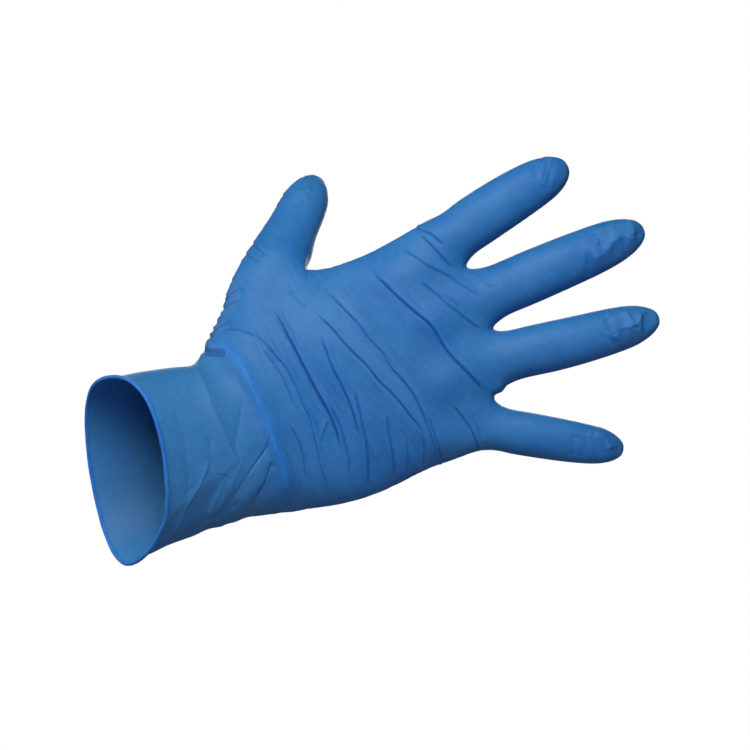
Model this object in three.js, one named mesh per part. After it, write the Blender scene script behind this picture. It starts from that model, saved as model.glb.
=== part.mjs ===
import * as THREE from 'three';

// Nitrile exam glove for the right hand, in the form that it takes when worn.
// Millimetres. +X runs from the cuff to the fingertips, +Z to the thumb's side and
// -Y out of the back of the hand. The origin is the centre of the cuff's mouth.

// Driving sizes
const CUFF_LENGTH = 56;
const CUFF_WIDTH = 74;
const CUFF_DEPTH = 48;
const PALM_LENGTH = 109;
const PALM_DEPTH = 33;
const HAND_SETBACK = 20;
const INDEX_LENGTH = 62;
const INDEX_WIDTH = 24;
const MIDDLE_LENGTH = 78;
const MIDDLE_WIDTH = 24;
const RING_LENGTH = 75;
const RING_WIDTH = 23;
const LITTLE_LENGTH = 60;
const LITTLE_WIDTH = 20;
const THUMB_LENGTH = 64;
const THUMB_WIDTH = 22;
const WALL = 1.2;
const BEAD_ROLL = 0.7;
const FOLD_HEIGHT = 1.1;
const FOLD_WIDTH = 3.2;

// The fingers stand side by side on the palm, a little apart.
const FINGER_SPACING = 1.05;
const PALM_WIDTH = (INDEX_WIDTH + MIDDLE_WIDTH + RING_WIDTH + LITTLE_WIDTH) * FINGER_SPACING;

// Mesh layout: strips of faces across one finger's back, round one side and round the bead
const FINGER_STRIPS = 4;
const SIDE_STRIPS = 3;
const BEAD_STRIPS = 6;
const BACK_STRIPS = 4 * FINGER_STRIPS;
const RING_POWER = 2.3;
const CORNER = { hand: 0.93, finger: 0.76 };

// Cuff sections, from the mouth to the wrist. Shares of the cuff's length, width and depth; axis is
// a share of the hand's setback. The slopes of a section's plane are lean, from the little finger's
// side to the thumb's, and slant, which is slantBack over the back and slantFront over the palm.
const CUFF_SECTIONS = [
  { at: 0.0, top: 0.5, bottom: -0.5, depth: 0.51, axis: 0.0, lean: 0.247, slantBack: -0.95, slantFront: -0.5, rows: 4 },
  { at: 0.3, top: 0.468, bottom: -0.5, depth: 0.47, axis: 0.29, lean: 0.15, slantBack: -0.75, slantFront: -0.5, rows: 4 },
  { at: 0.59, top: 0.42, bottom: -0.52, depth: 0.44, axis: 0.57, lean: 0.07, slantBack: -0.6, slantFront: -0.5, rows: 4 },
  { at: 0.83, top: 0.38, bottom: -0.555, depth: 0.415, axis: 0.78, lean: 0.0, slantBack: -0.55, slantFront: -0.5, rows: 4 },
];

// Hand sections, from the wrist to the knuckles. Shares of the palm's length, width and depth; slant is
// the same over back and palm. Bow moves the middle of a section towards the fingers, and droop bends its
// thumb side to the palm.
const HAND_SECTIONS = [
  { at: 0.0, top: 0.36, bottom: -0.465, back: 0.58, front: 0.58, axis: 0.9, slant: -0.5, rows: 3 },
  { at: 0.11, top: 0.49, bottom: -0.5, back: 0.54, front: 0.57, axis: 0.99, slant: -0.35, droop: 0.1, rows: 3 },
  { at: 0.22, top: 0.555, bottom: -0.536, back: 0.5, front: 0.56, axis: 1.03, slant: -0.2, droop: 0.22, rows: 3 },
  { at: 0.33, top: 0.56, bottom: -0.553, back: 0.48, front: 0.55, axis: 1.04, slant: -0.1, droop: 0.3, rows: 3 },
  { at: 0.43, top: 0.51, bottom: -0.555, back: 0.47, front: 0.52, axis: 1.03, bow: 0.01, droop: 0.26, rows: 3 },
  { at: 0.5, top: 0.455, bottom: -0.55, back: 0.46, front: 0.5, axis: 1.02, bow: 0.03, droop: 0.12, rows: 4 },
  { at: 0.6, top: 0.433, bottom: -0.548, back: 0.45, front: 0.47, axis: 1.0, lean: 0.06, bow: 0.07, rows: 4 },
  { at: 0.69, top: 0.433, bottom: -0.553, back: 0.42, front: 0.44, axis: 1.0, lean: 0.12, bow: 0.14, rows: 5 },
];

// The thumb grows out of the thumb side between these two hand sections, round these columns.
const THUMB_FIRST_SECTION = 1;
const THUMB_LAST_SECTION = 4;
const THUMB_BACK_COLUMNS = 1;
const THUMB_FRONT_COLUMNS = 2;

// Fingers: root as shares of the palm's length and width; heading and turn in degrees in the hand's
// plane, dip and curl in degrees towards the palm, turn and curl from root to tip.
const FINGERS = [
  { length: INDEX_LENGTH, width: INDEX_WIDTH, along: 0.98, across: 0.333, heading: 12, turn: -7, dip: -2, curl: 12 },
  { length: MIDDLE_LENGTH, width: MIDDLE_WIDTH, along: 1.0, across: 0.048, heading: -1, turn: 0, dip: -2, curl: 14 },
  { length: RING_LENGTH, width: RING_WIDTH, along: 0.955, across: -0.215, heading: -13, turn: 6, dip: -1, curl: 14 },
  { length: LITTLE_LENGTH, width: LITTLE_WIDTH, along: 0.835, across: -0.477, heading: -34, turn: 1, dip: 0, curl: 12 },
];

// Stations along a finger: shares of its length and width; deep is a share of the width there.
const FINGER_STATIONS = [
  { at: 0.14, wide: 0.97, deep: 0.93, rows: 2 },
  { at: 0.35, wide: 0.95, deep: 0.89, rows: 3 },
  { at: 0.55, wide: 0.92, deep: 0.87, rows: 3 },
  { at: 0.72, wide: 0.86, deep: 0.85, rows: 2 },
  { at: 0.84, wide: 0.76, deep: 0.84, rows: 2 },
  { at: 0.92, wide: 0.61, deep: 0.84, rows: 1 },
  { at: 0.975, wide: 0.37, deep: 0.85, rows: 1 },
];
const FINGER_ROOT = { wide: 1.02, deep: 0.98 };

// Webs between neighbouring fingers: shares of the palm's length and width; half depth and
// setback of their edges as shares of the palm's depth.
const WEBS = [
  { along: 1.0, across: 0.193 },
  { along: 1.0, across: -0.094 },
  { along: 0.89, across: -0.357 },
];
const WEB_HALF_DEPTH = 0.2;
const WEB_SETBACK = 0.1;

// Thumb: root as shares of the palm's length and width and of the hand's setback.
const THUMB = { along: 0.278, across: 0.492, behind: 1.36, heading: 40, turn: 3, dip: 33, curl: 6 };

// Stations along the thumb: shares of its length and width; skew turns a station towards the web.
const THUMB_STATIONS = [
  { at: 0.12, wide: 1.62, deep: 1.35, skew: 42, rows: 2 },
  { at: 0.28, wide: 1.3, deep: 1.08, skew: 28, rows: 2 },
  { at: 0.45, wide: 1.05, deep: 0.94, skew: 13, rows: 2 },
  { at: 0.63, wide: 0.96, deep: 0.86, skew: 7, rows: 2 },
  { at: 0.8, wide: 0.88, deep: 0.78, skew: 5, rows: 2 },
  { at: 0.91, wide: 0.68, deep: 0.6, skew: 0, rows: 1 },
  { at: 0.97, wide: 0.42, deep: 0.36, skew: 0, rows: 1 },
];

// Folds of the film over the back of the hand. Each runs through three points, given as shares of
// the palm's length (from the wrist) and width; rise is a share of FOLD_HEIGHT, below 0 in a crease.
const FOLDS = [
  { name: 'wrist ridge', from: [-0.012, 0.344], via: [0.1, 0.05], to: [0.008, -0.448], rise: 1.0 },
  { name: 'cuff ridge', from: [-0.082, 0.294], via: [-0.078, 0.1], to: [-0.083, -0.115], rise: 0.5 },
  { name: 'low fold', from: [0.221, 0.165], via: [0.227, -0.119], to: [0.155, -0.503], rise: 0.7 },
  { name: 'deep crease', from: [0.272, 0.295], via: [0.303, -0.024], to: [0.287, -0.312], rise: -0.9 },
  { name: 'middle fold', from: [0.398, 0.171], via: [0.403, -0.164], to: [0.366, -0.441], rise: 0.6 },
  { name: 'long diagonal', from: [0.416, 0.265], via: [0.52, -0.046], to: [0.621, -0.482], rise: 0.9 },
  { name: 'upper diagonal', from: [0.514, 0.253], via: [0.614, -0.153], to: [0.613, -0.529], rise: -0.6 },
  { name: 'knuckle fold', from: [0.577, 0.464], via: [0.8, 0.055], to: [0.883, -0.359], rise: 0.8 },
  { name: 'finger root fold', from: [0.835, 0.248], via: [0.914, 0.045], to: [0.995, -0.111], rise: -0.5 },
];

// Soft pads and knuckles under the film. Centre, reach and rise are shares of the palm's length,
// width and depth; side is -1 on the back and 1 on the palm.
const PADS = [
  { name: 'thumb pad', side: 1, along: 0.2, across: 0.2, long: 0.3, wide: 0.2, rise: 0.2 },
  { name: 'heel pad', side: 1, along: 0.24, across: -0.34, long: 0.36, wide: 0.17, rise: 0.12 },
  { name: 'finger pad', side: 1, along: 0.8, across: 0, long: 0.12, wide: 0.5, rise: 0.05 },
  { name: 'index knuckle', side: -1, along: 0.77, across: 0.3, long: 0.09, wide: 0.09, rise: 0.05 },
  { name: 'middle knuckle', side: -1, along: 0.8, across: 0.04, long: 0.09, wide: 0.09, rise: 0.06 },
  { name: 'ring knuckle', side: -1, along: 0.75, across: -0.22, long: 0.09, wide: 0.09, rise: 0.05 },
  { name: 'little knuckle', side: -1, along: 0.65, across: -0.44, long: 0.09, wide: 0.08, rise: 0.04 },
];

const RELAX_PASSES = 5;
const RELAX_SHARE = 0.5;
const NITRILE_COLOUR = 0x3f7cb6;

const radians = THREE.MathUtils.degToRad;

// Points round a unit section, as [across, up] pairs: over the back from the thumb's side,
// round the far side, back over the front and round the near side.
function sectionShares(strips, corner) {
  const height = (across) => (1 - Math.abs(across) ** RING_POWER) ** (1 / RING_POWER);
  const cornerAngle = Math.atan2(height(corner), corner);
  const sideShare = (side, step) => {
    const angle = cornerAngle * (1 - (2 * step) / SIDE_STRIPS);
    const cosine = Math.cos(angle);
    const sine = Math.sin(angle);
    const reach = (cosine ** RING_POWER + Math.abs(sine) ** RING_POWER) ** (1 / RING_POWER);
    return [(side * cosine) / reach, sine / reach];
  };
  const shares = [];
  for (let step = 0; step <= strips; step += 1) {
    const across = corner * (1 - (2 * step) / strips);
    shares.push([across, height(across)]);
  }
  for (let step = 1; step < SIDE_STRIPS; step += 1) shares.push(sideShare(-1, step));
  for (let step = 0; step <= strips; step += 1) {
    const across = corner * ((2 * step) / strips - 1);
    shares.push([across, -height(across)]);
  }
  for (let step = 1; step < SIDE_STRIPS; step += 1) shares.push(sideShare(1, SIDE_STRIPS - step));
  return shares;
}

const HAND_SHARES = sectionShares(BACK_STRIPS, CORNER.hand);
const FINGER_SHARES = sectionShares(FINGER_STRIPS, CORNER.finger);
const FAR_SIDE = BACK_STRIPS + 1;
const FRONT = BACK_STRIPS + SIDE_STRIPS;
const NEAR_SIDE = FRONT + BACK_STRIPS + 1;

// One closed section across the cuff or the hand, from a row of either table
function handSection(row, start, length, width, depth) {
  const section = { lean: 0, slant: 0, bow: 0, droop: 0, ...row };
  const halfWidth = ((section.top - section.bottom) / 2) * width;
  const centre = new THREE.Vector3(
    start + section.at * length,
    section.axis * HAND_SETBACK,
    ((section.top + section.bottom) / 2) * width,
  );
  return HAND_SHARES.map(([across, up]) => {
    const overBack = up > 0;
    const halfDepth = depth * (section.depth || (overBack ? section.back : section.front));
    const slant = (overBack ? section.slantBack : section.slantFront) || section.slant;
    const z = halfWidth * across;
    const y = -up * halfDepth;
    const x = section.lean * z + slant * y + section.bow * length * (1 - across * across);
    const bend = section.droop * depth * Math.max(0, across) ** 2;
    return new THREE.Vector3(x, y + bend, z).add(centre);
  });
}

// The moving frame at a share of a finger's or the thumb's length
function limbFrame(limb, root, share) {
  const steps = 24;
  const centre = root.clone();
  const aim = new THREE.Vector3();
  const direct = (at) => {
    const heading = radians(limb.heading + limb.turn * at);
    const dip = radians(limb.dip + limb.curl * at);
    aim.set(Math.cos(dip) * Math.cos(heading), Math.sin(dip), Math.cos(dip) * Math.sin(heading));
    return heading;
  };
  for (let step = 0; step < steps; step += 1) {
    direct((share * (step + 0.5)) / steps);
    centre.addScaledVector(aim, (share * limb.length) / steps);
  }
  const heading = direct(share);
  const across = new THREE.Vector3(-Math.sin(heading), 0, Math.cos(heading));
  const up = new THREE.Vector3().crossVectors(aim, across);
  return { centre, aim: aim.clone(), across, up };
}

function fingerRoot(finger) {
  const x = CUFF_LENGTH + finger.along * PALM_LENGTH;
  return new THREE.Vector3(x, HAND_SETBACK, finger.across * PALM_WIDTH);
}

function fingerSection(finger, at, wide, deep) {
  const frame = limbFrame(finger, fingerRoot(finger), at);
  const halfWidth = (finger.width * wide) / 2;
  return FINGER_SHARES.map(([across, up]) => frame.centre.clone()
    .addScaledVector(frame.across, halfWidth * across)
    .addScaledVector(frame.up, halfWidth * deep * up));
}

// Points of one web, from its back edge to its front edge
function webPoints(web) {
  const x = CUFF_LENGTH + web.along * PALM_LENGTH;
  const points = [];
  for (let step = 0; step <= SIDE_STRIPS; step += 1) {
    const turn = (Math.PI * step) / SIDE_STRIPS;
    const y = HAND_SETBACK - Math.cos(turn) * WEB_HALF_DEPTH * PALM_DEPTH;
    const back = (1 - Math.sin(turn)) * WEB_SETBACK * PALM_DEPTH;
    points.push(new THREE.Vector3(x - back, y, web.across * PALM_WIDTH));
  }
  return points;
}

// The last section of the hand: the roots of the four fingers with the webs between them
function rootSection(webs) {
  const points = new Array(HAND_SHARES.length);
  FINGERS.forEach((finger, order) => {
    const ring = fingerSection(finger, 0, FINGER_ROOT.wide, FINGER_ROOT.deep);
    const front = FRONT + (FINGERS.length - 1 - order) * FINGER_STRIPS;
    const fingerFront = FINGER_STRIPS + SIDE_STRIPS;
    for (let step = 0; step <= FINGER_STRIPS; step += 1) {
      points[order * FINGER_STRIPS + step] = ring[step];
      points[front + step] = ring[fingerFront + step];
    }
    for (let step = 1; step < SIDE_STRIPS; step += 1) {
      if (order === FINGERS.length - 1) points[FAR_SIDE + step - 1] = ring[FINGER_STRIPS + step];
      if (order === 0) points[NEAR_SIDE + step - 1] = ring[fingerFront + FINGER_STRIPS + step];
    }
  });
  webs.forEach((web, order) => {
    points[(order + 1) * FINGER_STRIPS] = web[0];
    points[FRONT + (FINGERS.length - 1 - order) * FINGER_STRIPS] = web[SIDE_STRIPS];
  });
  return points;
}

// Smooth rows between control sections: before and after only steer the curve's ends
function rowsBetween(sections, counts, column, before, after) {
  const points = sections.map((section) => section[column]);
  if (before) points.unshift(before);
  if (after) points.push(after);
  const curve = new THREE.CatmullRomCurve3(points, false, 'centripetal');
  const offset = before ? 1 : 0;
  const rows = [];
  counts.forEach((count, segment) => {
    for (let step = 0; step < count; step += 1) {
      rows.push(curve.getPoint((segment + offset + step / count) / (points.length - 1)));
    }
  });
  rows.push(sections[sections.length - 1][column].clone());
  return rows;
}

const vertices = [];
const faces = [];
const looseness = [];

function addVertex(point, loose) {
  vertices.push(point);
  looseness.push(loose);
  return vertices.length - 1;
}

// Faces between two closed loops of vertices
function joinLoops(first, second) {
  for (let column = 0; column < first.length; column += 1) {
    const next = (column + 1) % first.length;
    faces.push([first[column], first[next], second[next], second[column]]);
  }
}

// A rounded cap over a loop that is wide faces across its back and side faces down each side
function closeLoop(loop, wide, side, frame, halfWidth, halfDepth, reach) {
  const grid = [];
  for (let row = 0; row <= side; row += 1) {
    grid.push([]);
    for (let column = 0; column <= wide; column += 1) {
      let vertex;
      if (row === 0) vertex = loop[column];
      else if (row === side) vertex = loop[wide + side + (wide - column)];
      else if (column === wide) vertex = loop[wide + row];
      else if (column === 0) vertex = loop[2 * wide + side + (side - row)];
      else vertex = -1;
      grid[row].push(vertex);
    }
  }
  const at = (row, column) => vertices[grid[row][column]];
  for (let row = 1; row < side; row += 1) {
    for (let column = 1; column < wide; column += 1) {
      const u = column / wide;
      const v = row / side;
      const point = new THREE.Vector3()
        .addScaledVector(at(0, column), 1 - v)
        .addScaledVector(at(side, column), v)
        .addScaledVector(at(row, 0), 1 - u)
        .addScaledVector(at(row, wide), u)
        .addScaledVector(at(0, 0), -(1 - u) * (1 - v))
        .addScaledVector(at(0, wide), -u * (1 - v))
        .addScaledVector(at(side, 0), -(1 - u) * v)
        .addScaledVector(at(side, wide), -u * v);
      const offset = point.clone().sub(frame.centre);
      const away = (offset.dot(frame.across) / halfWidth) ** 2 + (offset.dot(frame.up) / halfDepth) ** 2;
      point.addScaledVector(frame.aim, reach * Math.sqrt(Math.max(0, 1 - away)));
      grid[row][column] = addVertex(point, 0);
    }
  }
  for (let row = 0; row < side; row += 1) {
    for (let column = 0; column < wide; column += 1) {
      faces.push([grid[row][column], grid[row][column + 1], grid[row + 1][column + 1], grid[row + 1][column]]);
    }
  }
}

// Cuff and hand: rings of vertices from the mouth to the finger roots
const webs = WEBS.map(webPoints);
const cuffSections = CUFF_SECTIONS.map((row) => handSection(row, 0, CUFF_LENGTH, CUFF_WIDTH, CUFF_DEPTH));
const handSections = HAND_SECTIONS.map((row) => (
  handSection(row, CUFF_LENGTH, PALM_LENGTH, PALM_WIDTH, PALM_DEPTH)));
const bodySections = [...cuffSections, ...handSections, rootSection(webs)];
const bodyCounts = [...CUFF_SECTIONS, ...HAND_SECTIONS].map((row) => row.rows);
const fingerFirst = FINGERS.map((finger) => {
  const station = FINGER_STATIONS[0];
  return fingerSection(finger, station.at, station.wide, station.deep);
});

// The point on a finger that a column of the hand runs on to, or none beside a web
function columnBeyond(column) {
  const onBack = column <= BACK_STRIPS;
  const onFront = column >= FRONT && column < NEAR_SIDE;
  if (onBack || onFront) {
    const step = onBack ? column : NEAR_SIDE - 1 - column;
    const edge = step === 0 || step === BACK_STRIPS;
    if (step % FINGER_STRIPS === 0 && !edge) return null;
    const order = Math.min(FINGERS.length - 1, Math.floor(step / FINGER_STRIPS));
    const local = step - order * FINGER_STRIPS;
    const front = 2 * FINGER_STRIPS + SIDE_STRIPS;
    return fingerFirst[order][onBack ? local : front - local];
  }
  if (column < FRONT) return fingerFirst[FINGERS.length - 1][FINGER_STRIPS + 1 + column - FAR_SIDE];
  return fingerFirst[0][2 * FINGER_STRIPS + SIDE_STRIPS + 1 + column - NEAR_SIDE];
}

const columns = HAND_SHARES.map((share, column) => (
  rowsBetween(bodySections, bodyCounts, column, null, columnBeyond(column))));
const bodyRows = columns[0].length;
const rowOfSection = (section) => bodyCounts.slice(0, section).reduce((sum, count) => sum + count, 0);
const thumbFirstRow = rowOfSection(CUFF_SECTIONS.length + THUMB_FIRST_SECTION);
const thumbLastRow = rowOfSection(CUFF_SECTIONS.length + THUMB_LAST_SECTION);
const thumbColumns = [];
for (let step = -THUMB_FRONT_COLUMNS - SIDE_STRIPS; step <= THUMB_BACK_COLUMNS; step += 1) {
  thumbColumns.push((step + HAND_SHARES.length) % HAND_SHARES.length);
}

const body = [];
for (let row = 0; row < bodyRows; row += 1) {
  body.push(columns.map((column, order) => {
    const place = thumbColumns.indexOf(order);
    const inside = place > 0 && place < thumbColumns.length - 1 && row > thumbFirstRow && row < thumbLastRow;
    if (inside) return -1;
    const onSide = order === 0 || (order >= BACK_STRIPS && order <= FRONT) || order >= NEAR_SIDE - 1;
    const nearWeb = row > bodyRows - 4 && !onSide ? 0.6 : 0;
    const rowGap = Math.max(thumbFirstRow - row, row - thumbLastRow, 0);
    const columnGap = place >= 0 ? 0 : Math.min(
      (order - THUMB_BACK_COLUMNS + HAND_SHARES.length) % HAND_SHARES.length,
      (thumbColumns[0] - order + HAND_SHARES.length) % HAND_SHARES.length,
    );
    const nearThumb = Math.max(0, 1 - Math.max(rowGap, columnGap) / 3);
    return addVertex(column[row], Math.max(nearWeb, nearThumb));
  }));
}
for (let row = 0; row + 1 < bodyRows; row += 1) {
  for (let column = 0; column < HAND_SHARES.length; column += 1) {
    const next = (column + 1) % HAND_SHARES.length;
    const place = thumbColumns.indexOf(column);
    const open = place >= 0 && place < thumbColumns.length - 1 && row >= thumbFirstRow && row < thumbLastRow;
    if (!open) faces.push([body[row][column], body[row][next], body[row + 1][next], body[row + 1][column]]);
  }
}

// Fingers
const roots = body[bodyRows - 1];
const webVertices = webs.map((web) => web.slice(1, SIDE_STRIPS).map((point) => addVertex(point, 0.6)));

function fingerLoop(order) {
  const loop = [];
  const last = FINGERS.length - 1;
  const front = FRONT + (last - order) * FINGER_STRIPS;
  for (let step = 0; step <= FINGER_STRIPS; step += 1) loop.push(roots[order * FINGER_STRIPS + step]);
  for (let step = 1; step < SIDE_STRIPS; step += 1) {
    loop.push(order === last ? roots[FAR_SIDE + step - 1] : webVertices[order][step - 1]);
  }
  for (let step = 0; step <= FINGER_STRIPS; step += 1) loop.push(roots[front + step]);
  for (let step = 1; step < SIDE_STRIPS; step += 1) {
    loop.push(order === 0 ? roots[NEAR_SIDE + step - 1] : webVertices[order - 1][SIDE_STRIPS - 1 - step]);
  }
  return loop;
}

FINGERS.forEach((finger, order) => {
  const base = fingerLoop(order);
  const stations = FINGER_STATIONS.map((row) => fingerSection(finger, row.at, row.wide, row.deep));
  const sections = [base.map((vertex) => vertices[vertex]), ...stations];
  const counts = FINGER_STATIONS.map((row) => row.rows);
  const rings = base.map((vertex, column) => {
    const bodyColumn = roots.indexOf(vertex);
    const before = bodyColumn < 0 ? null : vertices[body[bodyRows - 2][bodyColumn]];
    return rowsBetween(sections, counts, column, before, null);
  });
  let loop = base;
  for (let row = 1; row < rings[0].length; row += 1) {
    const next = rings.map((column) => addVertex(column[row], row < 3 ? 0.5 : 0));
    joinLoops(loop, next);
    loop = next;
  }
  const tip = FINGER_STATIONS[FINGER_STATIONS.length - 1];
  const halfWidth = (finger.width * tip.wide) / 2;
  const frame = limbFrame(finger, fingerRoot(finger), tip.at);
  closeLoop(loop, FINGER_STRIPS, SIDE_STRIPS, frame, halfWidth, halfWidth * tip.deep, finger.length * (1 - tip.at));
});

// Thumb
const thumb = { ...THUMB, length: THUMB_LENGTH };
const thumbRoot = new THREE.Vector3(
  CUFF_LENGTH + THUMB.along * PALM_LENGTH,
  THUMB.behind * HAND_SETBACK,
  THUMB.across * PALM_WIDTH,
);
const thumbWide = thumbLastRow - thumbFirstRow;
const thumbSide = thumbColumns.length - 1;
const thumbLoop = [];
for (let row = thumbFirstRow; row < thumbLastRow; row += 1) thumbLoop.push(body[row][thumbColumns[thumbSide]]);
for (let step = thumbSide; step > 0; step -= 1) thumbLoop.push(body[thumbLastRow][thumbColumns[step]]);
for (let row = thumbLastRow; row > thumbFirstRow; row -= 1) thumbLoop.push(body[row][thumbColumns[0]]);
for (let step = 0; step < thumbSide; step += 1) thumbLoop.push(body[thumbFirstRow][thumbColumns[step]]);

function thumbFrame(station) {
  const frame = limbFrame(thumb, thumbRoot, station.at);
  frame.across.applyAxisAngle(frame.up, radians(station.skew));
  return frame;
}

function thumbSection(station) {
  const frame = thumbFrame(station);
  return thumbLoop.map((vertex, column) => {
    const angle = (2 * Math.PI * (column + thumbSide / 2)) / thumbLoop.length;
    return frame.centre.clone()
      .addScaledVector(frame.across, (THUMB_WIDTH / 2) * station.wide * Math.cos(angle))
      .addScaledVector(frame.up, (THUMB_WIDTH / 2) * station.deep * Math.sin(angle));
  });
}

const thumbSections = [thumbLoop.map((vertex) => vertices[vertex]), ...THUMB_STATIONS.map(thumbSection)];
const thumbCounts = THUMB_STATIONS.map((row) => row.rows);
const thumbRings = thumbLoop.map((vertex, column) => rowsBetween(thumbSections, thumbCounts, column, null, null));
let thumbEnd = thumbLoop;
for (let row = 1; row < thumbRings[0].length; row += 1) {
  const next = thumbRings.map((column) => addVertex(column[row], row < 4 ? 1 - row / 4 : 0));
  joinLoops(thumbEnd, next);
  thumbEnd = next;
}
const thumbTip = THUMB_STATIONS[THUMB_STATIONS.length - 1];
closeLoop(
  thumbEnd,
  thumbWide,
  thumbSide,
  thumbFrame(thumbTip),
  (THUMB_WIDTH / 2) * thumbTip.wide,
  (THUMB_WIDTH / 2) * thumbTip.deep,
  THUMB_LENGTH * (1 - thumbTip.at),
);

// Loose vertices move towards the mean of their neighbours, which rounds the webs and the thumb's root
function relax() {
  const neighbours = vertices.map(() => new Set());
  faces.forEach((face) => face.forEach((vertex, corner) => {
    const next = face[(corner + 1) % face.length];
    neighbours[vertex].add(next);
    neighbours[next].add(vertex);
  }));
  for (let pass = 0; pass < RELAX_PASSES; pass += 1) {
    const means = neighbours.map((set) => {
      const mean = new THREE.Vector3();
      set.forEach((vertex) => mean.add(vertices[vertex]));
      return mean.divideScalar(set.size);
    });
    vertices.forEach((point, vertex) => point.lerp(means[vertex], RELAX_SHARE * looseness[vertex]));
  }
}
relax();

function normals() {
  const sums = vertices.map(() => new THREE.Vector3());
  const edge = new THREE.Vector3();
  const span = new THREE.Vector3();
  faces.forEach((face) => {
    edge.subVectors(vertices[face[2]], vertices[face[0]]);
    span.subVectors(vertices[face[3]], vertices[face[1]]);
    const normal = edge.clone().cross(span);
    face.forEach((vertex) => sums[vertex].add(normal));
  });
  return sums.map((sum) => sum.normalize());
}

// Folds lift or sink the film over the back of the hand
function foldRelief(point) {
  let rise = 0;
  FOLDS.forEach((fold) => {
    const points = [fold.from, fold.via, fold.to].map(([along, across]) => (
      new THREE.Vector3(CUFF_LENGTH + along * PALM_LENGTH, 0, across * PALM_WIDTH)));
    const curve = new THREE.CatmullRomCurve3(points);
    const samples = 32;
    let best = Infinity;
    let place = 0;
    for (let step = 0; step <= samples; step += 1) {
      const spot = curve.getPoint(step / samples);
      const distance = Math.hypot(spot.x - point.x, spot.z - point.z);
      if (distance < best) {
        best = distance;
        place = step / samples;
      }
    }
    const fade = Math.sin(Math.PI * Math.min(Math.max(place, 0.05), 0.95)) ** 0.5;
    rise += fold.rise * fade * Math.exp(-((best / FOLD_WIDTH) ** 2));
  });
  return rise * FOLD_HEIGHT;
}

// Pads raise the film from underneath, on one side of the hand
function padRelief(point, side) {
  const along = (point.x - CUFF_LENGTH) / PALM_LENGTH;
  const across = point.z / PALM_WIDTH;
  let rise = 0;
  PADS.forEach((pad) => {
    const away = ((along - pad.along) / pad.long) ** 2 + ((across - pad.across) / pad.wide) ** 2;
    if (pad.side === side) rise += pad.rise * Math.exp(-2 * away);
  });
  return rise * PALM_DEPTH;
}

const flatNormals = normals();
vertices.forEach((point, vertex) => {
  const normal = flatNormals[vertex];
  const side = Math.sign(normal.y);
  const relief = padRelief(point, side) + (side < 0 ? foldRelief(point) : 0);
  point.addScaledVector(normal, relief * Math.min(1, 2 * Math.abs(normal.y)));
});

// The film: the outer skin, a lining one wall inside it, and the rolled bead that joins them
const outward = normals();
const lining = vertices.map((point, vertex) => point.clone().addScaledVector(outward[vertex], -WALL));
const shell = [...vertices, ...lining];
const shellFaces = [
  ...faces,
  ...faces.map((face) => [...face].reverse().map((vertex) => vertex + vertices.length)),
];

const mouth = body[0];
const beadRadius = WALL / 2 + BEAD_ROLL;
const openAngle = Math.acos(WALL / 2 / beadRadius);
const beadLoops = [mouth];
for (let step = 1; step < BEAD_STRIPS; step += 1) {
  const angle = -openAngle + ((Math.PI + 2 * openAngle) * step) / BEAD_STRIPS;
  beadLoops.push(mouth.map((vertex, column) => {
    const edge = vertices[vertex].clone().sub(vertices[body[1][column]]).normalize();
    const centre = vertices[vertex].clone()
      .addScaledVector(outward[vertex], -WALL / 2)
      .addScaledVector(edge, beadRadius * Math.sin(openAngle));
    centre.addScaledVector(outward[vertex], beadRadius * Math.cos(angle));
    centre.addScaledVector(edge, beadRadius * Math.sin(angle));
    shell.push(centre);
    return shell.length - 1;
  }));
}
beadLoops.push(mouth.map((vertex) => vertex + vertices.length));
for (let step = 0; step < BEAD_STRIPS; step += 1) {
  const near = beadLoops[step];
  const far = beadLoops[step + 1];
  for (let column = 0; column < near.length; column += 1) {
    const next = (column + 1) % near.length;
    shellFaces.push([near[next], near[column], far[column], far[next]]);
  }
}

// Each four-sided face becomes two triangles along its shorter diagonal
const triangles = [];
shellFaces.forEach(([a, b, c, d]) => {
  if (shell[a].distanceTo(shell[c]) < shell[b].distanceTo(shell[d])) triangles.push(a, b, c, a, c, d);
  else triangles.push(a, b, d, b, c, d);
});

const geometry = new THREE.BufferGeometry();
geometry.setAttribute('position', new THREE.Float32BufferAttribute(shell.flatMap((point) => point.toArray()), 3));
geometry.setIndex(triangles);
geometry.computeVertexNormals();

const nitrile = new THREE.MeshStandardMaterial({ color: NITRILE_COLOUR, roughness: 0.5, metalness: 0 });
const glove = new THREE.Mesh(geometry, nitrile);
glove.name = 'glove';

const group = new THREE.Group();
group.add(glove);
export default group;
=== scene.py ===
"""A blue nitrile exam glove in its worn form, dressed over its plain solid.

The frame's outer skin is made finer and smoother, and folds, creases and dents are raised and sunk
in it. An inner skin and a rolled bead at the mouth finish the film. The fold tables are in
millimetres along the glove (from the mouth) and across it (to the thumb's side), and are scaled to
the frame's own length.
"""

import math

import bmesh
import bpy
import numpy as np
from mathutils import Matrix, Vector, noise


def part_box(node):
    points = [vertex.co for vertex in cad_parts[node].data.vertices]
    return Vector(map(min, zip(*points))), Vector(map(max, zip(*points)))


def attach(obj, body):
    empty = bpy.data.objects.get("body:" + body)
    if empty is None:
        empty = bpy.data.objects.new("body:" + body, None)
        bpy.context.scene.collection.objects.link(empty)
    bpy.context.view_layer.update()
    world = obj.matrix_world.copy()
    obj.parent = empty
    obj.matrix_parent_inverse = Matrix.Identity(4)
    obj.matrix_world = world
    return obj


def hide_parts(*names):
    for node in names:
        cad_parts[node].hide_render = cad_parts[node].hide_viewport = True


MM = 0.001

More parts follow.
